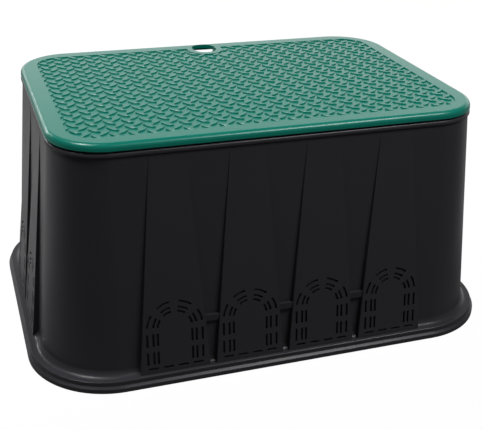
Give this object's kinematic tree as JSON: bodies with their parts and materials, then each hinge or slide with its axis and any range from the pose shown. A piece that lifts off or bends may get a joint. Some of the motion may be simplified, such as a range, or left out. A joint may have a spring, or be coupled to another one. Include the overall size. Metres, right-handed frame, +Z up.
{
  "type": "irrigation valve box",
  "caption": "Flared rectangular valve box with pipe knock-outs, a stepped foot flange, an open bottom and a loose tread-plate lid with a finger hole.",
  "frame": {"origin": "centre of the footprint, on the flange's underside", "axes": "+Z up; the long side lies along X, and -Y is the front, with the lid's finger hole at the back (+Y)"},
  "size_m": [0.626, 0.454, 0.305],
  "materials": {
    "body_plastic": "satin black moulded polyethylene",
    "lid_plastic": "satin green moulded polyethylene"
  },
  "bodies": {
    "root": {"box_body": "body_plastic", "lid": "lid_plastic"}
  },
  "joints": []
}
